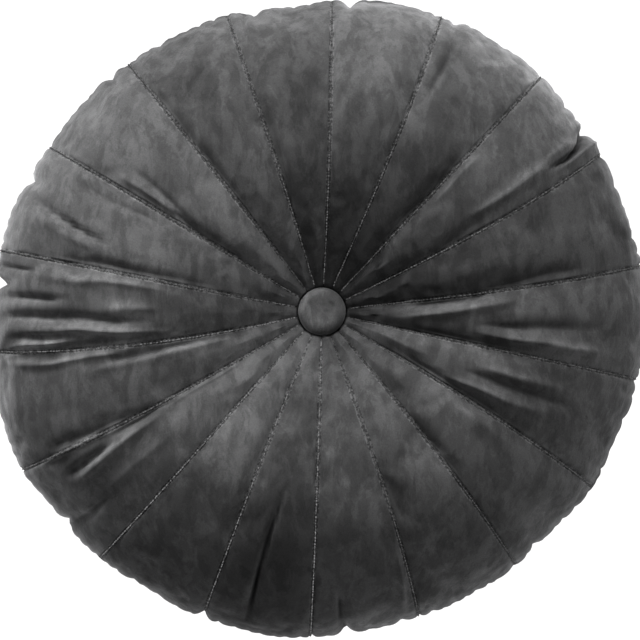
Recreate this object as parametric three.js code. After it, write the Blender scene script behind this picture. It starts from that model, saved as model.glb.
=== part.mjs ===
// Round velvet cushion: eighteen panels, stitched together along radial seams, drawn in to a covered button.
// Lengths are millimetres and bearings are degrees, anticlockwise from +X as the face is seen.
// The cushion lies on its back: Z is up out of the face, and the origin is the middle of its footprint.
import * as THREE from "three";

// Filled form, as a section from the button's axis out to the edge seam and back under.
const CROWN_HEIGHT = 97; // top of the filling, before the panels' own puff
const CROWN_SHARE = 0.55; // where the crown lies, as a share of the rim radius
const EDGE_HEIGHT = 43; // edge seam above the resting face
const EDGE_PINCH = 1.25; // 1 is a round edge, and more draws it to a point at the seam
const SEAT_HEIGHT = 57; // sunk seat under the button
const SEAT_RADIUS = 16; // level cloth that the button covers
const DIMPLE_RADIUS = 17; // where the slope up to the crown starts
const DIMPLE_POWER = 2.2; // above 1 is steep at the button and level at the crown
const FLAT_SHARE = 0.7; // outer limit of the flat resting face
const BACK_DIMPLE_RADIUS = 26;
const BACK_DIMPLE_HEIGHT = 8; // how far the button's tie draws in the back
const TUFT_RADIUS = 3; // level middle of the back dimple

// Button
const BUTTON_RADIUS = 15;
const BUTTON_UNDER_RADIUS = 12;
const BUTTON_BELLY_HEIGHT = 3; // widest ring above its underside
const BUTTON_HEIGHT = 8.5;
const BUTTON_DOME = 0.8; // 1 is an ellipse, and less fills out the dome's shoulders
const BUTTON_GAP = 0.3; // between the button's underside and its seat
const BUTTON_SIDES = 40;

// Mesh
const PANEL_STEPS = 12; // columns in each panel
const INNER_RINGS = [0.02, 0.07, 0.14, 0.23, 0.34, 0.47, 0.62, 0.8, 1]; // seat to crown
const OUTER_RINGS = [0.16, 0.32, 0.47, 0.61, 0.73, 0.83, 0.92, 1]; // crown to edge seam
const UNDER_RINGS = [0.12, 0.3, 0.6, 1]; // edge seam to resting face
const BACK_DIMPLE_RINGS = [0, 0.5, 1]; // resting face to tuft
const LEAST_FOLD_WIDTH = 5; // finer folds are widened to what the columns can hold

const COVER = { color: 0x414143, roughness: 0.95, metalness: 0 };
const BUTTON_COVER = { color: 0x4c4c4e, roughness: 0.92, metalness: 0 };

// One row for each seam: its bearing where it leaves the button, half way out and at the rim,
// then the rim radius at the seam and in the middle of the panel that follows it.
const SEAMS = [
  { button: 7.0, middle: 6.3, rim: 8.1, radius: 199.5, panelRadius: 199.2 },
  { button: 26.5, middle: 26.6, rim: 29.7, radius: 199.0, panelRadius: 198.6 },
  { button: 46.0, middle: 47.2, rim: 47.0, radius: 199.2, panelRadius: 199.6 },
  { button: 66.3, middle: 66.2, rim: 68.0, radius: 197.5, panelRadius: 196.8 },
  { button: 86.0, middle: 87.5, rim: 88.1, radius: 193.2, panelRadius: 191.4 },
  { button: 106.2, middle: 106.8, rim: 107.7, radius: 193.0, panelRadius: 194.3 },
  { button: 126.5, middle: 127.3, rim: 128.1, radius: 195.6, panelRadius: 197.8 },
  { button: 147.5, middle: 148.2, rim: 149.0, radius: 198.4, panelRadius: 201.6 },
  { button: 169.5, middle: 170.0, rim: 169.3, radius: 202.6, panelRadius: 203.6 },
  { button: 191.2, middle: 191.2, rim: 187.6, radius: 206.0, panelRadius: 209.0 },
  { button: 209.6, middle: 210.2, rim: 208.0, radius: 210.0, panelRadius: 207.0 },
  { button: 228.0, middle: 228.3, rim: 228.0, radius: 206.0, panelRadius: 204.0 },
  { button: 247.5, middle: 247.8, rim: 248.7, radius: 204.0, panelRadius: 204.2 },
  { button: 268.5, middle: 268.8, rim: 268.2, radius: 202.6, panelRadius: 199.6 },
  { button: 290.0, middle: 289.8, rim: 287.6, radius: 198.6, panelRadius: 199.0 },
  { button: 310.2, middle: 309.7, rim: 307.6, radius: 198.0, panelRadius: 197.8 },
  { button: 329.6, middle: 328.6, rim: 327.1, radius: 199.9, panelRadius: 199.8 },
  { button: 346.8, middle: 347.6, rim: 347.8, radius: 200.2, panelRadius: 201.2 },
];

// Panels' puff and seams' depth along the way from button to rim.
const SWELL = [
  { share: 0.08, puff: 0.6, valley: 0.6 },
  { share: 0.2, puff: 1.8, valley: 1.6 },
  { share: 0.5, puff: 2.8, valley: 2.2 },
  { share: 0.8, puff: 2.6, valley: 1.9 },
  { share: 1, puff: 0.8, valley: 0.8 },
];
const VALLEY_WIDTH = 6.5;
const VALLEY_SHARE = 0.25; // near the button, the most of a panel's width that a valley takes

// Long waves in the edge seam's height round the rim.
const EDGE_WAVES = [
  { waves: 2, size: 1.7, start: 40 },
  { waves: 5, size: 0.8, start: 0 },
];

// Tucks in the rim, where the gathered edge turns inward. Each reaches further up the side than over the top.
const TUCK_RISE = 2;
const TUCKS = [
  { bearing: 34.3, depth: 6.0, width: 8, reach: 26 },
  { bearing: 65.5, depth: 3.8, width: 9, reach: 20 },
  { bearing: 84.8, depth: 5.2, width: 11, reach: 22 },
  { bearing: 103.3, depth: 5.6, width: 12, reach: 22 },
  { bearing: 121.5, depth: 2.8, width: 9, reach: 18 },
  { bearing: 132.0, depth: 3.0, width: 9, reach: 18 },
  { bearing: 155.8, depth: 5.2, width: 11, reach: 24 },
  { bearing: 175.0, depth: 7.4, width: 11, reach: 26 },
  { bearing: 219.3, depth: 3.6, width: 10, reach: 20 },
  { bearing: 235.0, depth: 1.9, width: 9, reach: 16 },
  { bearing: 248.6, depth: 5.4, width: 9, reach: 22 },
  { bearing: 274.5, depth: 5.4, width: 11, reach: 22 },
  { bearing: 284.5, depth: 3.2, width: 9, reach: 18 },
  { bearing: 299.0, depth: 2.0, width: 9, reach: 16 },
  { bearing: 312.3, depth: 3.4, width: 11, reach: 20 },
  { bearing: 340.3, depth: 2.2, width: 9, reach: 16 },
];

// Folds in the face: where each starts and ends, measured from the button's axis.
// A rise above 0 is a ridge and below 0 is a trough; width is its half width.
const FOLDS = [
  { bearing: 33.0, radius: 110, toBearing: 35.6, toRadius: 182, rise: 2.6, width: 4 },
  { bearing: 32.2, radius: 164, toBearing: 34.2, toRadius: 200, rise: -6.5, width: 2.6 },
  { bearing: 30.9, radius: 160, toBearing: 32.2, toRadius: 200, rise: 2.6, width: 3 },
  { bearing: 49.6, radius: 34, toBearing: 49.4, toRadius: 145, rise: -2.0, width: 4 },
  { bearing: 62.3, radius: 145, toBearing: 61.8, toRadius: 184, rise: 1.6, width: 3.5 },
  { bearing: 64.6, radius: 146, toBearing: 64.3, toRadius: 188, rise: -2.6, width: 3 },
  { bearing: 105.4, radius: 176, toBearing: 103.8, toRadius: 194, rise: -2.6, width: 2.2 },
  { bearing: 145.2, radius: 56, toBearing: 144.4, toRadius: 116, rise: -3.2, width: 4 },
  { bearing: 143.2, radius: 104, toBearing: 143.5, toRadius: 160, rise: -2.2, width: 2.6 },
  { bearing: 145.0, radius: 112, toBearing: 145.0, toRadius: 158, rise: 1.4, width: 2.4 },
  { bearing: 163.6, radius: 132, toBearing: 158.8, toRadius: 197, rise: -3.4, width: 3.4 },
  { bearing: 165.8, radius: 128, toBearing: 161.2, toRadius: 194, rise: 2.6, width: 3.4 },
  { bearing: 172.4, radius: 176, toBearing: 172.0, toRadius: 203, rise: -2.8, width: 2.6 },
  { bearing: 176.5, radius: 154, toBearing: 176.3, toRadius: 203, rise: -4.2, width: 4.2 },
  { bearing: 178.4, radius: 158, toBearing: 178.3, toRadius: 204, rise: 2.6, width: 2.8 },
  { bearing: 180.8, radius: 118, toBearing: 180.5, toRadius: 203, rise: -4.2, width: 4.6 },
  { bearing: 183.6, radius: 100, toBearing: 182.6, toRadius: 204, rise: 3.2, width: 4.6 },
  { bearing: 186.0, radius: 114, toBearing: 184.6, toRadius: 202, rise: -3.2, width: 3.6 },
  { bearing: 193.0, radius: 58, toBearing: 192.6, toRadius: 150, rise: -2.4, width: 3.4 },
  { bearing: 197.6, radius: 32, toBearing: 194.6, toRadius: 158, rise: 3.6, width: 5 },
  { bearing: 211.4, radius: 90, toBearing: 213.8, toRadius: 194, rise: 3.2, width: 3 },
  { bearing: 213.8, radius: 118, toBearing: 215.8, toRadius: 190, rise: -2.2, width: 4 },
  { bearing: 217.6, radius: 116, toBearing: 219.4, toRadius: 170, rise: 1.4, width: 4 },
  { bearing: 221.2, radius: 160, toBearing: 220.4, toRadius: 204, rise: -2.8, width: 2.6 },
  { bearing: 244.4, radius: 36, toBearing: 246.2, toRadius: 156, rise: -2.6, width: 5 },
  { bearing: 257.8, radius: 92, toBearing: 256.2, toRadius: 203, rise: -4.6, width: 2.4 },
  { bearing: 273.2, radius: 172, toBearing: 274.2, toRadius: 202, rise: -3.0, width: 2.6 },
  { bearing: 286.4, radius: 134, toBearing: 284.8, toRadius: 194, rise: 2.0, width: 3 },
  { bearing: 291.8, radius: 104, toBearing: 291.0, toRadius: 142, rise: -2.2, width: 5 },
  { bearing: 323.5, radius: 108, toBearing: 323.9, toRadius: 144, rise: -1.6, width: 5 },
  { bearing: 332.8, radius: 36, toBearing: 331.6, toRadius: 158, rise: -2.8, width: 4.6 },
  { bearing: 334.8, radius: 84, toBearing: 338.0, toRadius: 162, rise: 2.2, width: 3.6 },
  { bearing: 339.0, radius: 92, toBearing: 340.0, toRadius: 168, rise: -3.2, width: 4 },
  { bearing: 342.6, radius: 50, toBearing: 343.2, toRadius: 146, rise: 2.6, width: 5.4 },
  { bearing: 350.2, radius: 32, toBearing: 350.4, toRadius: 138, rise: -3.2, width: 4.6 },
  { bearing: 353.0, radius: 84, toBearing: 354.8, toRadius: 152, rise: 2.6, width: 4 },
  { bearing: 2.0, radius: 36, toBearing: 4.4, toRadius: 112, rise: 2.6, width: 5 },
];
const FOLD_FADE = 0.25; // share of a fold's length over which its start dies away
const FOLD_OVERRUN = 1.2; // a fold dies away round its end, and is gone at this share of its length

// Gathers of the plain back, where its edge is drawn up to fit the face.
const GATHERS = [
  { waves: 36, size: 0.8, start: 90 },
  { waves: 23, size: 0.7, start: 140 },
  { waves: 13, size: 0.6, start: 200 },
];

const { clamp, lerp, smoothstep, degToRad } = THREE.MathUtils;

// A point part way along a ring of evenly spaced values, on a smooth curve through them.
function alongRing(values, at) {
  const n = values.length;
  const first = Math.floor(at);
  const t = at - first;
  const [a, b, c, d] = [-1, 0, 1, 2].map((step) => values[(first + step + 2 * n) % n]);
  return b + 0.5 * t * (c - a + t * (2 * a - 5 * b + 4 * c - d + t * (3 * (b - c) + d - a)));
}

// A value from the SWELL table at a share of the rim radius.
function swell(column, share) {
  let row = 1;
  while (row < SWELL.length - 1 && share > SWELL[row].share) row += 1;
  const [from, to] = [SWELL[row - 1], SWELL[row]];
  const t = clamp((share - from.share) / (to.share - from.share), 0, 1);
  return lerp(from[column], to[column], t);
}

// A seam's bearing, on the one smooth curve through its three stated bearings.
function seamBearing(index, share) {
  const seam = SEAMS[index % SEAMS.length];
  const turn = 360 * Math.floor(index / SEAMS.length);
  const t = 2 * share - 1;
  const bow = (seam.button + seam.rim) / 2 - seam.middle;
  return turn + seam.middle + (t * (seam.rim - seam.button)) / 2 + t * t * bow;
}

// A column is a whole number at a seam, and its fraction is the way across the panel that follows.
function columnBearing(column, share) {
  const seam = Math.floor(column);
  return lerp(seamBearing(seam, share), seamBearing(seam + 1, share), column - seam);
}

const RIM_RADII = SEAMS.flatMap((seam) => [seam.radius, seam.panelRadius]);
const rimRadius = (column) => alongRing(RIM_RADII, 2 * column);

const nearestTurn = (degrees) => degrees - 360 * Math.round(degrees / 360);

function sumOfWaves(rows, bearing) {
  return rows.reduce((sum, row) => sum + row.size * Math.sin(degToRad(row.waves * bearing + row.start)), 0);
}

const edgeHeight = (bearing) => EDGE_HEIGHT + sumOfWaves(EDGE_WAVES, bearing);

// How far the tucks draw a point in: they are deepest on the edge seam.
function tuckDepth(bearing, radius, fromEdge) {
  let depth = 0;
  for (const tuck of TUCKS) {
    const across = Math.abs(degToRad(nearestTurn(bearing - tuck.bearing))) * radius;
    const near = clamp(1 - across / tuck.width, 0, 1);
    const inward = clamp(1 - fromEdge / tuck.reach, 0, 1);
    depth += tuck.depth * near * near * inward * inward;
  }
  return depth;
}

function foldRise(bearing, radius) {
  let rise = 0;
  for (const fold of FOLDS) {
    const t = (radius - fold.radius) / (fold.toRadius - fold.radius);
    if (t <= 0 || t >= FOLD_OVERRUN) continue;
    const middle = lerp(fold.bearing, fold.toBearing, Math.min(t, 1));
    const across = degToRad(nearestTurn(bearing - middle)) * radius;
    const spread = across / Math.max(fold.width, LEAST_FOLD_WIDTH);
    const ends = smoothstep(t, 0, FOLD_FADE) * (1 - smoothstep(t, 2 - FOLD_OVERRUN, FOLD_OVERRUN));
    rise += fold.rise * Math.exp(-spread * spread) * ends;
  }
  return rise;
}

// How far a point of the face stands off the plain form: puffed panels, sunk seams and folds.
function faceRelief(column, share, radius) {
  const fraction = column - Math.floor(column);
  const panelWidth = degToRad(360 / SEAMS.length) * radius;
  const fromSeam = Math.min(fraction, 1 - fraction) * panelWidth;
  const valleyWidth = Math.min(VALLEY_WIDTH, panelWidth * VALLEY_SHARE);
  const puff = swell("puff", share) * Math.sin(Math.PI * fraction);
  const valley = swell("valley", share) * Math.exp(-fromSeam / valleyWidth);
  return puff - valley + foldRise(columnBearing(column, share), radius);
}

// Plain section of the face at one step from the seat to the crown, or from the crown to the edge seam:
// share of the rim radius, height, and how far the surface leans outward from level.
function innerSection(step, rim) {
  const start = DIMPLE_RADIUS / rim;
  const depth = CROWN_HEIGHT - SEAT_HEIGHT;
  const height = CROWN_HEIGHT - depth * (1 - step) ** DIMPLE_POWER;
  const rise = depth * DIMPLE_POWER * (1 - step) ** (DIMPLE_POWER - 1);
  const run = (CROWN_SHARE - start) * rim;
  return { share: lerp(start, CROWN_SHARE, step), height, lean: -Math.atan(rise / run) };
}

function outerSection(step, rim, edge) {
  const angle = (step * Math.PI) / 2;
  const height = lerp(edge, CROWN_HEIGHT, Math.cos(angle) ** EDGE_PINCH);
  const fall = (CROWN_HEIGHT - edge) * EDGE_PINCH * Math.cos(angle) ** (EDGE_PINCH - 2) * Math.sin(angle);
  const run = (1 - CROWN_SHARE) * rim;
  return { share: lerp(CROWN_SHARE, 1, Math.sin(angle)), height, lean: Math.atan(fall / run) };
}

// A face point, moved off the plain section by its relief and drawn in by the tucks.
function facePoint(section, step, column, rim) {
  const edge = edgeHeight(columnBearing(column, 1));
  const { share, height, lean } = section(step, rim, edge);
  const bearing = columnBearing(column, share);
  const relief = faceRelief(column, share, share * rim);
  const fromEdge = Math.hypot((1 - share) * rim, (height - edge) / TUCK_RISE);
  const radius = share * rim + Math.sin(lean) * relief - tuckDepth(bearing, rim, fromEdge);
  return polar(bearing, radius, height + Math.cos(lean) * relief);
}

// The plain back curves from the edge seam down to the resting face.
function underPoint(column, step, rim) {
  const angle = ((1 - step) * Math.PI) / 2;
  const bearing = columnBearing(column, 1);
  const gathered = sumOfWaves(GATHERS, bearing) * Math.sin(2 * angle);
  const radius = lerp(FLAT_SHARE, 1, Math.sin(angle)) * rim + gathered;
  const height = edgeHeight(bearing) * (1 - Math.cos(angle) ** EDGE_PINCH);
  return polar(bearing, radius - tuckDepth(bearing, rim, rim - radius), height);
}

function polar(bearing, radius, height) {
  const turn = degToRad(bearing);
  return new THREE.Vector3(radius * Math.cos(turn), radius * Math.sin(turn), height);
}

// The back's own dimple, where the button's tie draws it in.
function backDimplePoint(column, step) {
  const radius = lerp(BACK_DIMPLE_RADIUS, TUFT_RADIUS, step);
  return polar(columnBearing(column, 1), radius, BACK_DIMPLE_HEIGHT * smoothstep(step, 0, 1));
}

// Every ring of the cushion, from the sunk seat over the face and under to the back dimple.
function cushionRings(columns) {
  const ring = (point) => columns.map((column) => point(column, rimRadius(column)));
  return [
    ring((column) => polar(columnBearing(column, 0), SEAT_RADIUS, SEAT_HEIGHT)),
    ...INNER_RINGS.map((step) => ring((column, rim) => facePoint(innerSection, step, column, rim))),
    ...OUTER_RINGS.map((step) => ring((column, rim) => facePoint(outerSection, step, column, rim))),
    ...UNDER_RINGS.map((step) => ring((column, rim) => underPoint(column, step, rim))),
    ...BACK_DIMPLE_RINGS.map((step) => ring((column) => backDimplePoint(column, step))),
  ];
}

// One closed surface through the rings, with a fan to a middle point at each end.
function closedSurface(rings, firstMiddle, lastMiddle) {
  const sides = rings[0].length;
  const points = [...rings.flat(), firstMiddle, lastMiddle];
  const faces = [];
  const at = (ring, side) => ring * sides + (side % sides);
  for (let side = 0; side < sides; side += 1) {
    faces.push(points.length - 2, at(0, side), at(0, side + 1));
    for (let ring = 0; ring < rings.length - 1; ring += 1) {
      const [a, b] = [at(ring, side), at(ring, side + 1)];
      const [c, d] = [at(ring + 1, side), at(ring + 1, side + 1)];
      faces.push(a, c, d, a, d, b);
    }
    faces.push(points.length - 1, at(rings.length - 1, side + 1), at(rings.length - 1, side));
  }
  return new THREE.BufferGeometry().setFromPoints(points).setIndex(faces);
}

function cushionGeometry() {
  const count = SEAMS.length * PANEL_STEPS;
  const columns = Array.from({ length: count }, (_, i) => i / PANEL_STEPS);
  const seatMiddle = new THREE.Vector3(0, 0, SEAT_HEIGHT);
  const backMiddle = new THREE.Vector3(0, 0, BACK_DIMPLE_HEIGHT);
  return closedSurface(cushionRings(columns), seatMiddle, backMiddle);
}

// A domed button: flat underneath, rolled at its edge.
function buttonGeometry() {
  const rise = BUTTON_HEIGHT - BUTTON_BELLY_HEIGHT;
  const outline = [new THREE.Vector2(0, 0), new THREE.Vector2(BUTTON_UNDER_RADIUS, 0)];
  for (const angle of [-50, -25, 0]) {
    const turn = degToRad(angle);
    const radius = lerp(BUTTON_UNDER_RADIUS, BUTTON_RADIUS, Math.cos(turn));
    outline.push(new THREE.Vector2(radius, BUTTON_BELLY_HEIGHT * (1 + Math.sin(turn))));
  }
  for (const angle of [12, 25, 38, 51, 64, 77]) {
    const turn = degToRad(angle);
    const height = BUTTON_BELLY_HEIGHT + rise * Math.sin(turn) ** BUTTON_DOME;
    outline.push(new THREE.Vector2(BUTTON_RADIUS * Math.cos(turn), height));
  }
  outline.push(new THREE.Vector2(0, BUTTON_HEIGHT));
  return new THREE.LatheGeometry(outline, BUTTON_SIDES).rotateX(Math.PI / 2);
}

function piece(name, geometry, finish) {
  const mesh = new THREE.Mesh(geometry, new THREE.MeshStandardMaterial(finish));
  mesh.name = name;
  return mesh;
}

const cushion = piece("cushion", cushionGeometry(), COVER);
const button = piece("button", buttonGeometry(), BUTTON_COVER);
button.position.z = SEAT_HEIGHT + BUTTON_GAP;

// The pieces are made about the button's axis, which lies a little off the middle of the footprint.
cushion.geometry.computeBoundingBox();
const footprintMiddle = cushion.geometry.boundingBox.getCenter(new THREE.Vector3());

const roundCushion = new THREE.Group();
roundCushion.add(cushion, button);
roundCushion.position.set(-footprintMiddle.x, -footprintMiddle.y, 0);

export default roundCushion;
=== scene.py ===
"""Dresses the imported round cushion: velvet cover, topstitched seams and covered button.

Tables are in millimetres, and in degrees anticlockwise from +X as the face is seen. All radii are measured
from the button's axis. Meshes are made in metres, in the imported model's own frame.
"""

import math
import random
from collections import namedtuple

import bpy
import numpy as np
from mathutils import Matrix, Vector, noise


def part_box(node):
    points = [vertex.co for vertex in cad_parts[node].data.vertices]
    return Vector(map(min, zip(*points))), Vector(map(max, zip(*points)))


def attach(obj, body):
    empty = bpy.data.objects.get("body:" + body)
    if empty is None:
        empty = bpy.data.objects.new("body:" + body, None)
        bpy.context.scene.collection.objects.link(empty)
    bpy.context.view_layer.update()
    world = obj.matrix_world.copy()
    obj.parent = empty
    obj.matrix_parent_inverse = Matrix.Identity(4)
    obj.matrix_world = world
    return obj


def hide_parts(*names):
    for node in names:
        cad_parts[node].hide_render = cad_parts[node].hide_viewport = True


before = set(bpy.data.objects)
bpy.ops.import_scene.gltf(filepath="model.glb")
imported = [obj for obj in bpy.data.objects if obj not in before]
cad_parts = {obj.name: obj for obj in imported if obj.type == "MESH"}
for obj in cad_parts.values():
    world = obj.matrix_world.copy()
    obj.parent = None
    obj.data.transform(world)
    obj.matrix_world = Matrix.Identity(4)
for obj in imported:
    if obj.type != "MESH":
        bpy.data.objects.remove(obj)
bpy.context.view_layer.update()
BUTTON_LOW, BUTTON_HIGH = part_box("button")

MM = 0.001
SMALLEST = 1e-6  # keeps divisions and powers off zero
AXIS = (BUTTON_LOW + BUTTON_HIGH) / 2
BUTTON_RADIUS = (BUTTON_HIGH.x - BUTTON_LOW.x) / 2 / MM
BUTTON_BASE = BUTTON_LOW.z / MM
BUTTON_HEIGHT = (BUTTON_HIGH.z - BUTTON_LOW.z) / MM
FOOT = np.array([AXIS.x, AXIS.y, 0])  # of the button's axis, on the surface that the cushion rests on

# Filled form, as a section from the button's axis out to the edge seam and back under
CROWN_HEIGHT = 97
CROWN_SHARE = 0.55  # where the crown lies, as a share of the rim radius
EDGE_HEIGHT = 43
EDGE_PINCH = 1.25  # 1 is a round edge, and more draws it to a point at the seam
SEAT_HEIGHT = BUTTON_BASE - 0.3
SEAT_RADIUS = 15
DIMPLE_RADIUS = 15.4
DIMPLE_POWER = 2.2  # above 1 is steep at the button and level at the crown
LIP_RISE = 4.5  # the button presses a lip of cloth up round its edge
LIP_SPAN = 5  # how fast the lip dies away outwards
INNER_START = 0.01  # where the first ring lies on the way from the seat's wall to the crown
FLAT_SHARE = 0.7  # outer limit of the flat resting face
BACK_DIMPLE_RADIUS = 26
BACK_DIMPLE_HEIGHT = 8
TUFT_RADIUS = 3

# Mesh
PANEL_COLUMNS = 48
COLUMN_CROWDING = 0.65  # 0 spaces a panel's columns evenly, and near 1 crowds them at its seams
INNER_RINGS = 44
OUTER_RINGS = 46
UNDER_RINGS = 16
BACK_DIMPLE_RINGS = 5

# One row for each seam: bearing at the button, half way out and at the rim, then the rim radius at the
# seam and in the middle of the panel that follows it. Then how light that panel's nap lies inside the
# crown and outside it, and how light the seam's thread is painted, which is painted light: lighter on
# the seams whose welts the lamps would light, and darker on the others
Seam = namedtuple("Seam", "button middle rim radius panel_radius nap_inside nap_outside thread")
SEAMS = [Seam(*row) for row in (
    (6.7, 6.5, 8.2, 199.5, 196.4, 0.60, 0.85, 0.70),
    (26.0, 26.7, 29.5, 198.8, 195.8, 1.00, 1.00, 1.05),
    (47.0, 46.9, 47.0, 198.4, 198.8, 0.70, 1.20, 0.95),
    (65.6, 66.3, 68.0, 197.8, 196.6, 0.85, 1.20, 1.00),
    (86.2, 87.4, 88.1, 193.8, 188.8, 0.95, 0.95, 1.05),
    (106.0, 107.0, 107.8, 193.6, 194.8, 1.40, 1.00, 1.00),
    (126.6, 127.6, 128.1, 195.0, 196.0, 1.75, 1.40, 0.60),
    (148.4, 148.5, 148.9, 197.8, 199.5, 1.70, 1.50, 0.75),
    (170.4, 169.6, 169.2, 202.6, 203.6, 1.00, 1.35, 1.00),
    (193.5, 190.6, 186.9, 206.0, 209.0, 1.35, 1.20, 1.50),
    (210.4, 209.8, 207.8, 210.0, 205.3, 1.65, 1.55, 1.20),
    (227.4, 228.2, 228.0, 206.2, 202.6, 1.65, 0.95, 1.80),
    (247.0, 248.0, 248.7, 204.0, 204.2, 0.95, 0.70, 1.50),
    (268.7, 268.4, 268.0, 201.6, 199.4, 1.10, 1.00, 1.80),
    (290.2, 289.5, 287.6, 198.6, 199.0, 1.20, 0.95, 0.65),
    (310.4, 309.2, 307.4, 198.9, 197.6, 1.10, 0.95, 0.55),
    (329.8, 328.8, 327.1, 200.7, 199.0, 1.20, 0.95, 0.65),
    (347.0, 347.6, 347.8, 199.0, 201.0, 1.00, 1.00, 0.70),
)]

# Panels' puff and seams' depth along the way from button to rim
Swell = namedtuple("Swell", "share puff valley")
SWELL = [
    Swell(0.08, 1.3, 0.7),
    Swell(0.20, 2.0, 1.3),
    Swell(0.50, 1.2, 1.2),
    Swell(0.80, 0.8, 1.0),
    Swell(1.00, 0.5, 0.6),
]
VALLEY_WIDTH = 6.5
VALLEY_SHARE = 0.25  # near the button, the most of a panel's width that a valley takes

# The stitched line lies on a narrow welt between two grooves, pressed into the pile
CHANNEL_DEPTH = 0.5
CHANNEL_FLAT = 1.1  # half width over the grooves' bottoms
CHANNEL_HALF = 1.7  # half width at the top
WELT_HEIGHT = 0.4
WELT_FLAT = 0.25  # half width of its top
WELT_HALF = 0.8  # half width at its foot
CHANNEL_PANEL = 18  # panels narrower than this, near the button, have a narrower channel too

# Waves round a piece: how many, how large and where they start. The edge seam rises and falls in long ones,
# and the back is gathered in short ones
Wave = namedtuple("Wave", "count size start")
EDGE_WAVES = [Wave(2, 1.7, 40), Wave(5, 0.8, 0)]
BACK_GATHERS = [Wave(36, 0.8, 90), Wave(23, 0.7, 140), Wave(13, 0.6, 200)]

# Tucks in the rim that show in the outline. Depth is what they cut out of the outline, width is half of
# their span along the rim, and reach is how far they run in over the face
Tuck = namedtuple("Tuck", "bearing depth width reach")
TUCKS = [Tuck(*row) for row in (
    (13.5, 1.8, 5, 20),
    (23.2, 1.6, 5, 18),
    (29.0, 1.6, 5, 26),
    (34.4, 6.0, 6, 30),
    (40.0, 2.2, 6, 24),
    (43.3, 1.1, 5, 14),
    (53.5, 0.8, 5, 16),
    (59.3, 0.8, 5, 20),
    (65.2, 3.8, 8, 26),
    (71.3, 0.9, 5, 18),
    (84.8, 6.0, 9, 26),
    (102.8, 5.6, 9, 26),
    (115.8, 0.8, 5, 16),
    (121.5, 2.6, 8, 22),
    (132.0, 4.4, 8, 22),
    (148.5, 0.9, 5, 16),
    (155.8, 5.6, 9, 30),
    (165.0, 1.0, 5, 24),
    (175.0, 10.5, 10, 34),
    (219.3, 4.6, 8, 26),
    (235.0, 1.8, 6, 18),
    (240.0, 1.0, 5, 16),
    (248.6, 4.8, 7, 26),
    (259.0, 0.7, 5, 18),
    (274.5, 4.8, 9, 28),
    (284.5, 2.8, 7, 22),
    (290.3, 2.0, 6, 18),
    (299.0, 1.6, 6, 18),
    (307.0, 1.2, 5, 16),
    (312.3, 4.0, 9, 22),
    (322.3, 1.4, 6, 18),
    (334.3, 0.7, 5, 16),
    (340.3, 1.7, 6, 20),
    (347.3, 1.7, 5, 20),
)]
TUCK_RISE = 2  # tucks reach this many times further up the side than over the top

EDGE_SHADE = 0.3  # painted shade: the edge seam and all of the back under it are darkened to this share, as the edge's fold falls into shade
EDGE_SHADE_RISE = 8  # up to this height above the seam
NAP_CHANGE = (100, 128)  # the nap's tone changes between these radii
NAP_BLEND = 1.5  # how far from a seam the next panel's nap still shows
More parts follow.
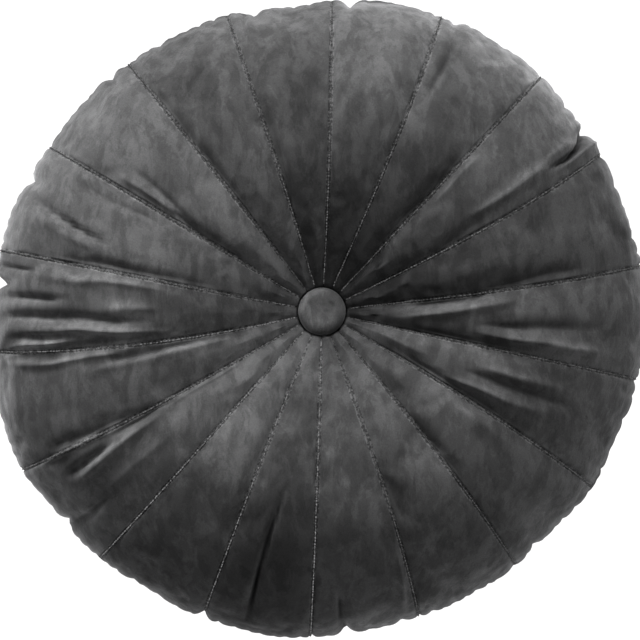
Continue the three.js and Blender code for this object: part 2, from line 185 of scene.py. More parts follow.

# Marks in the nap's tone. Some are brushed marks in the pile, and some are painted light and shade: the
# light band along the top of the rim, lightening near the button and beside seams where shade falls, and
# darkening in creases and on parts of the rim. Each row gives where the mark lies, half its length along
# the radius, half its width, and its tone, above 1 for a light one
Mark = namedtuple("Mark", "bearing radius length width tone")
NAP_MARKS_AND_PAINTED_LIGHT = [Mark(*row) for row in (
    (1.6, 91, 12, 3, 1.5),
    (4, 102, 30, 5, 1.2),
    (5, 58, 20, 3, 0.55),
    (8.6, 146, 20, 2.6, 1.5),
    (10.5, 130, 28, 6, 0.66),
    (13.5, 187, 9, 14, 0.5),
    (18, 74, 18, 8, 0.8),
    (18.2, 140, 20, 6, 1.35),
    (24.5, 141, 11, 9, 0.6),
    (25, 187, 8, 14, 0.75),
    (31, 76, 18, 10, 0.8),
    (32.3, 177, 12, 1.8, 0.25),
    (34, 132, 28, 5, 1.3),
    (38.8, 77, 18, 5, 0.65),
    (41.5, 92, 14, 6, 0.75),
    (42, 192, 8, 28, 1.45),
    (45.6, 113, 16, 4, 1.25),
    (46, 59, 4, 4, 1.8),
    (46.5, 80, 10, 3, 1.35),
    (49, 96, 24, 6, 0.72),
    (50.5, 124, 8, 5, 0.75),
    (55, 112, 20, 12, 0.85),
    (55, 192, 8, 34, 1.45),
    (58.7, 143, 12, 9, 0.6),
    (63.8, 168, 16, 5, 0.65),
    (66.6, 184, 6, 3, 1.3),
    (68.8, 108, 11, 8, 1.35),
    (71.5, 166, 20, 6, 0.72),
    (76, 72, 14, 8, 0.8),
    (76, 189, 8, 30, 1.35),
    (77, 92, 12, 8, 1.2),
    (77, 160, 24, 9, 1.18),
    (78.5, 54, 10, 7, 0.7),
    (81, 127, 12, 6, 0.8),
    (89.3, 104, 9, 4, 0.72),
    (95.5, 138, 14, 14, 0.6),
    (97, 90, 12, 12, 0.75),
    (97, 114, 11, 10, 0.75),
    (102, 136, 12, 6, 1.22),
    (103, 77, 16, 8, 0.75),
    (105.8, 110, 14, 4, 0.66),
    (110, 24, 12, 10, 0.8),
    (110, 132, 18, 9, 1.12),
    (116, 190, 9, 22, 0.85),
    (118, 154, 15, 10, 0.5),
    (120, 34, 16, 8, 0.8),
    (122.6, 158, 11, 6, 0.75),
    (123.6, 126, 10, 8, 1.35),
    (124, 75, 12, 9, 0.75),
    (126, 110, 18, 4, 0.72),
    (126.8, 164, 11, 3, 0.75),
    (131, 190, 6, 16, 0.65),
    (134, 82, 28, 12, 1.15),
    (142, 194, 6, 26, 0.75),
    (144.8, 124, 10, 3, 1.25),
    (146.3, 80, 22, 4, 0.68),
    (147.5, 124, 9, 3, 1.8),
    (152, 146, 18, 4, 0.85),
    (155, 36, 8, 7, 0.7),
    (158, 24, 14, 7, 0.65),
    (162, 152, 12, 3, 0.7),
    (164, 106, 14, 7, 1.22),
    (164, 122, 60, 14, 1.25),
    (165.2, 98, 24, 3, 1.35),
    (166.6, 141, 8, 4, 1.3),
    (167, 118, 18, 4, 0.8),
    (169.8, 141, 9, 3, 0.7),
    (171.5, 138, 40, 5, 1.15),
    (172.8, 116, 24, 4, 1.45),
    (176, 189, 7, 5, 0.6),
    (177.5, 87, 8, 5, 0.6),
    (178.4, 163, 7, 4, 0.65),
    (178.5, 116, 8, 6, 1.25),
    (181.2, 116, 12, 8, 1.35),
    (182, 56, 11, 12, 0.75),
    (183.6, 173, 16, 3, 0.55),
    (184, 138, 50, 14, 1.3),
    (184.8, 112, 15, 7, 1.35),
    (185.6, 191, 6, 6, 0.35),
    (185.7, 150, 24, 3, 1.9),
    (186.4, 170, 13, 3, 1.25),
    (187.5, 178, 18, 3, 2.2),
    (188.9, 187, 12, 3, 2.0),
    (189.9, 122, 15, 3, 1.6),
    (190, 118, 26, 4, 1.35),
    (190.4, 150, 24, 4.5, 1.45),
    (191.9, 166, 22, 4, 1.7),
    (192.4, 128, 16, 3, 0.7),
    (193.5, 58, 9, 4, 0.55),
    (196.3, 91, 13, 3.4, 1.5),
    (197.6, 67, 14, 6, 1.3),
    (198.6, 71, 12, 5, 1.25),
    (198.6, 170, 9, 8, 0.7),
    (200, 20, 8, 6, 0.75),
    (200, 102, 12, 10, 0.6),
    (200, 118, 24, 22, 1.2),
    (201, 187, 10, 14, 0.65),
    (204.2, 70, 18, 8, 0.65),
    (205, 128, 14, 7, 1.3),
    (205.8, 103, 9, 5, 1.4),
    (206.2, 133, 5, 4, 1.4),
    (207.4, 108, 14, 5, 1.35),
    (208.3, 170, 26, 1.8, 1.35),
    (209.9, 127, 18, 3, 0.65),
    (210.6, 164, 22, 3.4, 0.45),
    (213.2, 156, 13, 4, 1.6),
    (216, 124, 11, 12, 0.76),
    (218.5, 155, 8, 4, 1.22),
    (220.5, 168, 16, 4, 0.75),
    (222, 184, 8, 3, 1.35),
    (225.4, 98, 13, 7, 1.3),
    (245.8, 108, 34, 4, 0.78),
    (249.6, 178, 15, 3, 1.4),
    (250, 24, 12, 7, 1.25),
    (250, 68, 9, 8, 1.2),
    (252.5, 140, 34, 12, 0.75),
    (254.8, 116, 18, 7, 0.6),
    (255.4, 172, 16, 2.4, 1.4),
    (256.4, 158, 34, 1.6, 0.55),
    (258, 30, 16, 8, 1.45),
    (258, 91, 14, 12, 0.75),
    (262.5, 152, 28, 14, 0.85),
    (267.4, 184, 11, 3, 1.4),
    (270, 91, 9, 4, 0.75),
    (273, 103, 13, 6, 0.65),
    (279, 152, 14, 14, 0.9),
    (279, 191, 5, 14, 1.3),
    (285.4, 178, 8, 4, 1.35),
    (286.5, 142, 10, 6, 0.78),
    (291.5, 118, 14, 6, 0.7),
    (293.4, 160, 15, 9, 1.5),
    (295.2, 184, 14, 8, 1.5),
    (296, 28, 7, 8, 0.65),
    (296, 90, 12, 10, 0.8),
    (301, 162, 14, 14, 0.8),
    (307.7, 190, 7, 5, 1.4),
    (310.8, 167, 18, 5, 0.8),
    (311.8, 98, 14, 5, 0.7),
    (313.5, 60, 10, 5, 0.7),
    (315.5, 186, 13, 12, 1.4),
    (319, 155, 10, 6, 1.2),
    (322, 19, 7, 8, 1.5),
    (322.6, 129, 13, 5, 0.62),
    (325.8, 98, 22, 6, 1.25),
    (330, 169, 6, 8, 1.3),
    (330.6, 128, 20, 4, 0.8),
    (333.2, 104, 14, 4, 1.5),
    (334.4, 51, 11, 8, 0.7),
    (334.8, 95, 8, 7, 1.2),
    (336.8, 138, 13, 4, 1.2),
    (338, 66, 10, 5, 1.2),
    (338.6, 122, 26, 5, 0.7),
    (342.5, 115, 22, 7, 1.15),
    (349.7, 157, 20, 9, 1.65),
    (350.2, 88, 38, 5, 0.6),
    (352.8, 105, 16, 4, 1.3),
    (353, 66, 32, 5, 0.6),
    (354, 22, 12, 7, 0.55),
    (354, 146, 16, 7, 1.2),
    (356, 37, 10, 4, 0.55),
    (357, 108, 9, 8, 0.8),
    (357.2, 126, 32, 5, 0.65),
    (357.6, 69, 4.5, 5, 1.6),
    (359.8, 54, 12, 6, 1.2),
)]
MARK_EDGE = 2.2  # 1 is a mark that fades evenly, and more has a crisper edge
MARK_STRENGTH = 0.8  # 1 is the full tone, and less is a fainter mark

# Small gathers fill the rim between the tucks. Each value is drawn at random between two limits
GATHER_PITCH = (1.8, 3.0)  # degrees from one to the next
GATHER_DEPTH = (0.5, 1.5)
GATHER_WIDTH = (3.2, 4.6)
GATHER_REACH = (8, 26)
GATHER_CLEARANCE = 1.8  # degrees kept to the next tuck
GATHER_SEED = 7

# Folds in the face: bearing and radius of the inner end, middle and outer end. A rise above 0 is a ridge
# and below 0 is a trough, and width is its half width
Fold = namedtuple("Fold", "inner middle outer rise width")
FOLDS = [Fold(*row) for row in (
    ((2.6, 40), (4.6, 78), (6.2, 112), -3, 3),
    ((7.6, 92), (9, 126), (9.4, 160), -2.6, 3.4),
    ((14, 45), (14.5, 100), (14.5, 155), 0.8, 9),
    ((28, 50), (29, 85), (30.5, 125), -1.8, 3.2),
    ((31.2, 162), (31.2, 182), (31.8, 205), 2.4, 2),
    ((33, 160), (31.9, 177), (34.6, 198), -8, 1.5),
    ((32.4, 100), (32.8, 135), (33.4, 168), 3, 3.2),
    ((34.2, 158), (34, 170), (34.2, 186), 2, 1.8),
    ((44.4, 88), (44.6, 113), (44.6, 138), 1.8, 3.4),
    ((49, 40), (48.2, 88), (48, 130), -2.6, 3.2),
    ((61.6, 140), (62.2, 165), (62.6, 190), 1.4, 3),
    ((63.2, 138), (63.4, 166), (64.2, 198), -2.6, 3),
    ((103.6, 58), (104.8, 98), (105.4, 142), -2.4, 3.6),
    ((105.2, 172), (105.2, 184), (104, 197), -2.6, 2),
    ((125.8, 70), (126.6, 118), (126.8, 182), -1.8, 3.5),
    ((145, 92), (144, 116), (143.3, 146), -1.8, 2.4),
    ((146.4, 104), (146.3, 126), (146.2, 150), 1.8, 2.2),
    ((146.9, 46), (146.8, 76), (146, 112), -3.4, 3),
    ((152.4, 100), (152.4, 138), (152.4, 172), -1, 2.6),
    ((163, 130), (161, 160), (158, 196), -4.2, 2.2),
    ((165.6, 130), (163.6, 160), (160.8, 194), 1.6, 4),
    ((166.8, 58), (167.6, 107), (168.2, 168), -2.4, 3.6),
    ((172.4, 172), (171.8, 188), (171.6, 206), -2.8, 2.2),
    ((173.4, 88), (172.6, 130), (172.8, 178), 3, 4),
    ((176.9, 148), (177.1, 170), (177.2, 204), -4.2, 3),
    ((180, 94), (179.6, 113), (179.4, 132), 2, 3.4),
    ((184.4, 94), (181.7, 146), (181, 205), -4.8, 3.6),
    ((183.2, 120), (182, 150), (181.9, 196), 1.6, 1.8),
    ((188, 86), (184.5, 142), (183.5, 194), 3.8, 3),
    ((185.2, 140), (185, 160), (185, 198), -1.6, 2.4),
    ((186.9, 144), (186.4, 164), (186.6, 196), 3, 2.4),
    ((188, 96), (187.9, 125), (188.4, 160), -1.6, 3.2),
    ((191.8, 112), (191.1, 150), (189.8, 198), 2.4, 2.8),
    ((195.4, 56), (193.4, 98), (193.5, 142), -4, 3.4),
    ((199, 36), (195.6, 83), (195.2, 155), 2.6, 4),
    ((209.4, 98), (208.2, 137), (206.8, 186), -2, 3.6),
    ((209.4, 138), (209, 162), (208.5, 198), 2, 2),
    ((211.2, 100), (210.9, 125), (210.9, 152), -3, 2.6),
    ((211.6, 50), (211.6, 78), (211.4, 110), 1.2, 1.6),
    ((212.2, 143), (212.5, 162), (212.9, 186), -3.2, 2.4),
    ((212, 107), (213, 132), (214.6, 182), 3.2, 3.2),
    ((219, 110), (219.4, 142), (220, 177), 1.4, 3.2),
    ((221, 166), (221, 184), (220.9, 210), -3.4, 2.2),
    ((246.6, 36), (246.6, 88), (247.4, 156), -2.4, 4),
    ((258.3, 102), (256.9, 140), (256.5, 204), -6, 1.5),
    ((273.6, 166), (273.6, 184), (274.4, 205), -3, 2.2),
    ((287.4, 146), (286.6, 168), (284.4, 196), 1.8, 2.6),
    ((291.6, 94), (291.4, 119), (291.2, 142), -1.8, 4),
    ((310.6, 78), (310.4, 102), (310.2, 132), -2, 3.4),
    ((324, 82), (324.6, 105), (325, 130), 1.2, 5),
    ((334.6, 38), (331, 80), (329.8, 145), -2, 3.6),
    ((331.8, 74), (333.2, 106), (335.4, 152), 2.6, 3.4),
    ((338.6, 26), (337.8, 44), (337, 72), 2.8, 4.4),
    ((337.1, 88), (337.8, 118), (338.8, 166), -3.6, 3.2),
    ((340.4, 94), (340.9, 122), (341.8, 158), 2.4, 4),
    ((349, 50), (349, 85), (349, 125), -1.6, 3.2),
    ((352.4, 84), (351.6, 124), (351.8, 180), 3.4, 3.6),
    ((354.8, 86), (355.3, 122), (356.8, 174), -3, 3.4),
    ((353.5, 36), (358.2, 66), (363.8, 124), 3.2, 4.2),
)]
FOLD_INNER_FADE = 0.4  # share of its length over which a fold dies away
FOLD_OUTER_FADE = 0.25
FOLD_TAPER = 0.6  # a fold's width at its inner end, as a share of that at its outer end
FOLD_ROUNDNESS = 1.45  # 2 is a round fold and 1 a creased one

# Unevenness of the cloth, the filling and the marks: size across, then height, and the seed of its noise
Unevenness = namedtuple("Unevenness", "span height seed")
LUMPS = [Unevenness(58, 1.3, 3), Unevenness(24, 0.5, 11)]
PUCKERS = Unevenness(7.5, 0.42, 23)
FOLD_SWAY = Unevenness(30, 0.9, 31)
MARK_FRAYS = [Unevenness(16, 0.35, 41), Unevenness(6, 0.3, 43)]
PUCKER_FADE = 7  # how far from a seam its puckers die away
UNEVEN_FROM = (DIMPLE_RADIUS, 3 * DIMPLE_RADIUS)  # lumps and puckers set in between these radii

# Cloth trial: the cover is cut larger than the form that it fills, and is held where it is sewn
TRIAL_RING_SKIP = 2
TRIAL_COLUMN_SKIP = 3
TRIAL_FRAMES = 20
TRIAL_GROWTH = 0.035  # full growth, of which each place has a share
TRIAL_SLACK = [(0, 0.1), (0.5, 0.2), (0.8, 0.3), (1, 0.25)]  # that share, on the way out to the rim
TRIAL_SEAM_SLACK = 0.25  # what is left of it at a seam
TRIAL_PRESSURE = 2.0
TRIAL_BENDING = 1.0
TRIAL_CAP = 5.0  # the furthest that the trial may move a point
HELD_AT_BUTTON = 2  # this many of the trial's rings next to the button
HELD_AT_EDGE = 5  # and this many inside the edge seam

# Topstitching
STITCH_PITCH = 1.9
STITCH_LENGTH = 1.75
THREAD_RADIUS = 0.42
THREAD_END = 0.75  # a stitch's thickness at its ends, as a share of that at its middle
THREAD_LIFT = 0.12
STITCH_WANDER = 0.22  # how far a stitch strays from the seam's line
STITCH_SHIFT = 0.3  # how far it strays along that line
STITCH_SEED = 5
THREAD_SIDES = 6
THREAD_STEPS = 5


def lerp(a, b, t):
    return a + (b - a) * t


def smoothstep(x, low, high):
    t = np.clip((x - low) / (high - low), 0, 1)
    return t * t * (3 - 2 * t)


def nearest_turn(degrees):
    """The same angle, between -180 and 180 degrees."""
    return (degrees + 180) % 360 - 180


def on_curve(values, at, closed):
    """Values part way along a row of evenly spaced ones, on smooth curves through them."""
    first = np.floor(at).astype(int)
    t = (at - first).reshape((-1,) + (1,) * (values.ndim - 1))
    places = [first + step for step in (-1, 0, 1, 2)]
    if closed:
        places = [place % len(values) for place in places]
    else:
        places = [np.clip(place, 0, len(values) - 1) for place in places]
    a, b, c, d = (values[place] for place in places)
    return b + 0.5 * t * (c - a + t * (2 * a - 5 * b + 4 * c - d + t * (3 * (b - c) + d - a)))


SEAM_BEARINGS = np.array([(seam.button, seam.middle, seam.rim) for seam in SEAMS])
RIM_RADII = np.array([(seam.radius, seam.panel_radius) for seam in SEAMS]).ravel()
NAPS = np.array([(seam.nap_inside, seam.nap_outside) for seam in SEAMS])


def rim_radius(column):
    """The rim radius at each column, as the seams' rows state it at every half panel."""
    return on_curve(RIM_RADII, 2 * column, True)


def seam_bearing(index, share):
    """A seam's bearing, on the one smooth curve through its three stated bearings."""
    button, middle, rim = np.moveaxis(SEAM_BEARINGS[index % len(SEAMS)], -1, 0)
    t = 2 * share - 1
    bow = (button + rim) / 2 - middle
    return 360 * (index // len(SEAMS)) + middle + t * (rim - button) / 2 + t * t * bow


def column_bearing(column, share):
    """A column is a whole number at a seam, and its fraction is the way across the panel that follows."""
    seam = np.floor(column).astype(int)
    return lerp(seam_bearing(seam, share), seam_bearing(seam + 1, share), column - seam)


def sum_of_waves(waves, bearing):
    """The waves' height at each bearing, all added up."""
    return sum(wave.size * np.sin(np.radians(wave.count * bearing + wave.start)) for wave in waves)


def edge_height(column):
    """The height of the edge seam at each column."""
    return EDGE_HEIGHT + sum_of_waves(EDGE_WAVES, column_bearing(column, 1.0))


def wander(x, y, unevenness):
    """Smooth noise over the plan, within about plus or minus the unevenness's height."""
    offset = 100.0 * unevenness.seed
    spots = zip((x / unevenness.span).ravel(), (y / unevenness.span).ravel())
    values = [noise.noise(Vector((u + offset, v - offset, offset))) for u, v in spots]
    return unevenness.height * 2 * np.array(values).reshape(x.shape)


def all_tucks():
    """The listed tucks, and the small gathers that fill the rim between them."""
    choose = random.Random(GATHER_SEED)
    tucks = list(TUCKS)
    bearing = 0.0
    while bearing < 360 - GATHER_PITCH[0]:
        clearance = min(abs(nearest_turn(bearing - tuck.bearing)) for tuck in TUCKS)
        ranges = (GATHER_DEPTH, GATHER_WIDTH, GATHER_REACH)
        depth, width, reach = (choose.uniform(*limits) for limits in ranges)
        if clearance > GATHER_CLEARANCE:
            tucks.append(Tuck(bearing, depth, width, reach))
        bearing += choose.uniform(*GATHER_PITCH)
    return tucks


ALL_TUCKS = all_tucks()


def tuck_depth(bearing, radius, from_edge):
    """How far the tucks draw each point in: they are deepest on the edge seam."""
    depth = np.zeros_like(bearing)
    for tuck in ALL_TUCKS:
        across = np.abs(np.radians(nearest_turn(bearing - tuck.bearing))) * radius
        near = np.clip(1 - across / tuck.width, 0, 1)
        inward = np.clip(1 - from_edge / tuck.reach, 0, 1)
        depth += tuck.depth * near**2 * inward**2
    return depth


def fold_bearing(fold, radius):
    """The fold's bearing at each radius, on the smooth curve through its three stated points."""
    ends = [fold.inner, fold.middle, fold.outer]
    total = 0
    for place, (bearing, at) in enumerate(ends):
        first, second = (other[1] for index, other in enumerate(ends) if index != place)
        weight = (radius - first) * (radius - second) / ((at - first) * (at - second))
        total = total + bearing * weight
    return total


def fold_rise(bearing, radius):
    """How far the folds raise or sink each point of the face."""
    sway = wander(*plan(bearing, radius), FOLD_SWAY)
    rise = np.zeros_like(bearing)
    for fold in FOLDS:
        inner, outer = fold.inner[1], fold.outer[1]
        middle = fold_bearing(fold, np.clip(radius, inner, outer))
        across = np.radians(nearest_turn(bearing - middle)) * radius + sway
        t = (radius - inner) / (outer - inner)
        ends = smoothstep(t, 0, FOLD_INNER_FADE) * (1 - smoothstep(t, 1 - FOLD_OUTER_FADE, 1))
        width = fold.width * lerp(FOLD_TAPER, 1, smoothstep(t, 0, 1))
        rise += fold.rise * np.exp(-np.abs(across / width) ** FOLD_ROUNDNESS) * ends
    return rise


def swell(share):
    """Puff and valley depth at a share of the rim radius."""
    shares, puffs, valleys = np.array(SWELL).T
    return np.interp(share, shares, puffs), np.interp(share, shares, valleys)


def seam_distance(column, radius):
    """Distance to the nearest seam, and the panel's width there, with all panels taken as equal."""
    fraction = column - np.floor(column)
    width = np.radians(360 / len(SEAMS)) * radius
    return np.minimum(fraction, 1 - fraction) * width, width


def channel_narrowing(panel):
    """The share of its full width that a channel has beside a panel of this width."""
    return np.clip(panel / CHANNEL_PANEL, 0, 1)


def face_relief(column, share, radius, x, y):
    """How far the face stands off its plain form: puff, seams, channels, folds, puckers and lumps."""
    from_seam, panel = seam_distance(column, radius)
    puff, valley = swell(share)
    relief = puff * np.sin(np.pi * (column - np.floor(column)))
    relief -= valley * np.exp(-from_seam / np.minimum(VALLEY_WIDTH, panel * VALLEY_SHARE))
    narrowing = channel_narrowing(panel)
    channel = 1 - smoothstep(from_seam, CHANNEL_FLAT * narrowing, CHANNEL_HALF * narrowing)
    welt = 1 - smoothstep(from_seam, WELT_FLAT * narrowing, WELT_HALF * narrowing)
    relief -= narrowing * (CHANNEL_DEPTH * channel - WELT_HEIGHT * welt)
    relief += fold_rise(column_bearing(column, share), radius)
    away = smoothstep(radius, *UNEVEN_FROM)
    puckered = np.exp(-from_seam / PUCKER_FADE) * (1 - channel) * away
    relief += puckered * wander(x, y, PUCKERS)
    for lump in LUMPS:
        relief += away * wander(x, y, lump)
    return relief


def inner_section(step, rim):
    """Plain section from the seat to the crown: share of the rim radius, height and outward lean."""
    start = DIMPLE_RADIUS / rim
    depth = CROWN_HEIGHT - SEAT_HEIGHT
    run = (CROWN_SHARE - start) * rim
    lip = LIP_RISE * np.exp(-step * run / LIP_SPAN)
    height = CROWN_HEIGHT - depth * (1 - step) ** DIMPLE_POWER + lip
    rise = depth * DIMPLE_POWER * (1 - step) ** (DIMPLE_POWER - 1) - lip * run / LIP_SPAN
    return lerp(start, CROWN_SHARE, step), height, -np.arctan(rise / run)


def outer_section(step, rim, edge):
    """Plain section from the crown to the edge seam."""
    angle = step * math.pi / 2
    cosine = np.maximum(np.cos(angle), SMALLEST)
    height = lerp(edge, CROWN_HEIGHT, cosine**EDGE_PINCH)
    fall = (CROWN_HEIGHT - edge) * EDGE_PINCH * cosine ** (EDGE_PINCH - 2) * np.sin(angle)
    run = (1 - CROWN_SHARE) * rim
    return lerp(CROWN_SHARE, 1, np.sin(angle)) + 0 * rim, height, np.arctan(fall / run)


def plan(bearing, radius):
    """Where a point lies across and up the face, from its bearing and radius."""
    turn = np.radians(bearing)
    return radius * np.cos(turn), radius * np.sin(turn)


def face_points(column, rim, edge, share, height, lean):
    """Points of the face, moved off the plain section by their relief and drawn in by the tucks."""
    bearing = column_bearing(column + 0 * share, share)
    radius = share * rim
    x, y = plan(bearing, radius)
    relief = face_relief(column + 0 * share, share, radius, x, y)
    from_edge = np.hypot(rim - radius, (height - edge) / TUCK_RISE)
    radius = radius + np.sin(lean) * relief - tuck_depth(bearing, rim, from_edge)
    return np.stack([*plan(bearing, radius), height + np.cos(lean) * relief], axis=-1)


def under_points(column, rim, edge, step):
    """Points of the plain back, from the edge seam down to the resting face."""
    angle = (1 - step) * math.pi / 2
    bearing = column_bearing(column + 0 * step, 1.0)
    gathered = sum_of_waves(BACK_GATHERS, bearing) * np.sin(2 * angle)
    radius = lerp(FLAT_SHARE, 1, np.sin(angle)) * rim + gathered
    height = edge * (1 - np.maximum(np.cos(angle), 0) ** EDGE_PINCH)
    radius = radius - tuck_depth(bearing, rim, rim - radius)
    return np.stack([*plan(bearing, radius), height], axis=-1)


def dimple_points(column, step):
    """Points of the back's own dimple, where the button's tie draws it in."""
    bearing = column_bearing(column + 0 * step, 1.0)
    radius = lerp(BACK_DIMPLE_RADIUS, TUFT_RADIUS, step) + 0 * bearing
    height = BACK_DIMPLE_HEIGHT * smoothstep(step, 0, 1) + 0 * bearing
    return np.stack([*plan(bearing, radius), height], axis=-1)


def panel_columns():
    """Columns of the whole cushion, crowded towards the seams."""
    u = np.arange(PANEL_COLUMNS) / PANEL_COLUMNS
    across = u - COLUMN_CROWDING * np.sin(2 * np.pi * u) / (2 * np.pi)
    return np.concatenate([seam + across for seam in range(len(SEAMS))])


def steps(count, first=0.0):
    """Evenly spaced steps up to 1, as a column of numbers."""
    return np.linspace(first, 1, count)[:, None]


def cushion_rings():
    """Every ring of the cushion, from the sunk seat over the face and under to the back dimple."""
    column = panel_columns()
    rim = rim_radius(column)
    edge = edge_height(column)
    seat_plan = plan(column_bearing(column, 0.0), SEAT_RADIUS + 0 * column)
    seat = np.stack([*seat_plan, SEAT_HEIGHT + 0 * column], axis=-1)[None]
    inner = inner_section(steps(INNER_RINGS, INNER_START), rim)
    outer = outer_section(steps(OUTER_RINGS, 1 / OUTER_RINGS), rim, edge)
    face = [face_points(column, rim, edge, *section) for section in (inner, outer)]
    under = under_points(column, rim, edge, steps(UNDER_RINGS, 1 / UNDER_RINGS))
    dimple = dimple_points(column, steps(BACK_DIMPLE_RINGS))
    return np.concatenate([seat, *face, under, dimple])


def closed_mesh(name, rings, first_height, last_height):
    """One closed surface through the rings, with a fan to a middle point on the axis at each end."""
    count, sides = rings.shape[:2]
    points = np.concatenate([rings.reshape(-1, 3), [(0, 0, first_height), (0, 0, last_height)]])
    faces = []
    for side in range(sides):
        after = (side + 1) % sides
        faces.append((count * sides, side, after))
        faces.append((count * sides + 1, (count - 1) * sides + after, (count - 1) * sides + side))
    for ring in range(count - 1):
        here, below = ring * sides, (ring + 1) * sides
        for side in range(sides):
            after = (side + 1) % sides
            faces.append((here + side, below + side, below + after, here + after))
    return mesh_object(name, points, faces)


def new_object(name, data):
    """A new object in the scene."""
    made = bpy.data.objects.new(name, data)
    bpy.context.scene.collection.objects.link(made)
    return made


def mesh_object(name, points, faces):
    """A smooth mesh in the scene, from points in millimetres about the button's axis."""
    mesh = bpy.data.meshes.new(name)
    mesh.from_pydata(points * MM + FOOT, [], faces)
    mesh.polygons.foreach_set("use_smooth", [True] * len(mesh.polygons))
    mesh.update()
    return new_object(name, mesh)


def held_points(shape):
    """Indices of the points that are sewn down: at the button, along the seams, and at the rim and back."""
    ring, column = np.indices(shape)
    edge_ring = (1 + INNER_RINGS + OUTER_RINGS) // TRIAL_RING_SKIP - HELD_AT_EDGE
    held = (ring < HELD_AT_BUTTON) | (ring >= edge_ring)
    held |= column % (PANEL_COLUMNS // TRIAL_COLUMN_SKIP) == 0
    middles = [held.size, held.size + 1]
    return np.flatnonzero(held).tolist() + middles


def slack_shares(rings):
    """How much of the growth each point of the trial has: least at the seams, and most near the rim."""
    radius = np.hypot(rings[..., 0], rings[..., 1])
    out = np.interp(radius / radius.max(axis=0), *np.transpose(TRIAL_SLACK))
    across = np.arange(rings.shape[1]) * TRIAL_COLUMN_SKIP / PANEL_COLUMNS
    return out * lerp(TRIAL_SEAM_SLACK, 1, np.sin(np.pi * (across % 1)))


def trial_piece(rings):
    """A coarser copy of the cover, as cloth that has grown and is blown up by its filling."""
    piece = closed_mesh("cloth_trial", rings, SEAT_HEIGHT, BACK_DIMPLE_HEIGHT)
    held = piece.vertex_groups.new(name="held")
    held.add(held_points(rings.shape[:2]), 1.0, "REPLACE")
    taut = piece.vertex_groups.new(name="taut")
    for index, share in enumerate(slack_shares(rings).ravel()):
        taut.add([index], 1 - share, "REPLACE")
    cloth = piece.modifiers.new("cloth", "CLOTH")
    settings = cloth.settings
    settings.vertex_group_mass = held.name
    settings.vertex_group_shrink = taut.name
    settings.shrink_min = -TRIAL_GROWTH
    settings.shrink_max = 0
    settings.use_pressure = True
    settings.uniform_pressure_force = TRIAL_PRESSURE
    settings.bending_stiffness = TRIAL_BENDING
    settings.effector_weights.gravity = 0
    cloth.collision_settings.use_collision = False
    cloth.point_cache.frame_start = 1
    cloth.point_cache.frame_end = TRIAL_FRAMES
    return piece


def trial_moves(rings):
    """How far the cloth trial moves each point of the rings."""
    piece = trial_piece(rings)
    for frame_number in range(1, TRIAL_FRAMES + 1):
        bpy.context.scene.frame_set(frame_number)
    settled = piece.evaluated_get(bpy.context.evaluated_depsgraph_get()).data
    points = np.empty(len(settled.vertices) * 3)
    settled.vertices.foreach_get("co", points)
    bpy.data.objects.remove(piece)
    bpy.context.scene.frame_set(1)
    on_rings = points.reshape(-1, 3)[: rings.shape[0] * rings.shape[1]]
    return ((on_rings - FOOT) / MM).reshape(rings.shape) - rings


def relaxed(rings):
    """The cover after the cloth trial: every point moves as the trial's cloth moved there, within a cap."""
    moves = trial_moves(rings[::TRIAL_RING_SKIP, ::TRIAL_COLUMN_SKIP])
    length = np.linalg.norm(moves, axis=-1, keepdims=True)
    moves = moves * (TRIAL_CAP * np.tanh(length / TRIAL_CAP) / np.maximum(length, SMALLEST))
    moves = on_curve(moves, np.arange(rings.shape[0]) / TRIAL_RING_SKIP, False)
    moves = on_curve(moves.swapaxes(0, 1), np.arange(rings.shape[1]) / TRIAL_COLUMN_SKIP, True)
    return rings + moves.swapaxes(0, 1)


def mark_and_painted_light_tone(x, y, marks):
    """The marks' tone at each point, brushed nap and painted light and shade, with frayed outlines."""
    radius = np.hypot(x, y)
    bearing = np.degrees(np.arctan2(y, x))
    fray = sum(wander(x, y, unevenness) for unevenness in MARK_FRAYS)
    tone = np.zeros_like(x)
    for mark in marks:
        along = (radius - mark.radius) / mark.length
        across = np.radians(nearest_turn(bearing - mark.bearing)) * mark.radius / mark.width
        away = np.maximum(along**2 + across**2 + fray, 0)
        tone += MARK_STRENGTH * math.log(mark.tone) * np.exp(-(away**MARK_EDGE))
    return np.exp(tone)


def painted_edge_shade(rings):
    """Painted shade: dark on the edge seam and under it, where the fold falls into shade, and rising to
    full tone above it.
    """
    above_seam = smoothstep(rings[..., 2], EDGE_HEIGHT, EDGE_HEIGHT + EDGE_SHADE_RISE)
    on_face = np.arange(len(rings))[:, None] <= INNER_RINGS + OUTER_RINGS
    return np.where(on_face, lerp(EDGE_SHADE, 1, above_seam), EDGE_SHADE)


def nap_tone(rings):
    """How light the nap lies, with painted light and shade: two tones for each panel, blended at the crown
    and at its seams, times the painted edge shade and the marks.
    """
    column = panel_columns() + np.zeros((len(rings), 1))
    seam = np.floor(column).astype(int)
    fraction = column - seam
    radius = np.hypot(rings[..., 0], rings[..., 1])
    outside = smoothstep(radius, *NAP_CHANGE)
    inside_naps, outside_naps = NAPS.T
    panels = [(seam + step) % len(SEAMS) for step in (0, -1, 1)]
    here, before, after = (lerp(inside_naps[panel], outside_naps[panel], outside) for panel in panels)
    from_seam = seam_distance(column, radius)[0]
    neighbour = np.where(fraction < 0.5, before, after)
    tone = lerp(here, (here + neighbour) / 2, np.exp(-from_seam / NAP_BLEND))
    return tone * painted_edge_shade(rings) * mark_and_painted_light_tone(rings[..., 0], rings[..., 1], NAP_MARKS_AND_PAINTED_LIGHT)


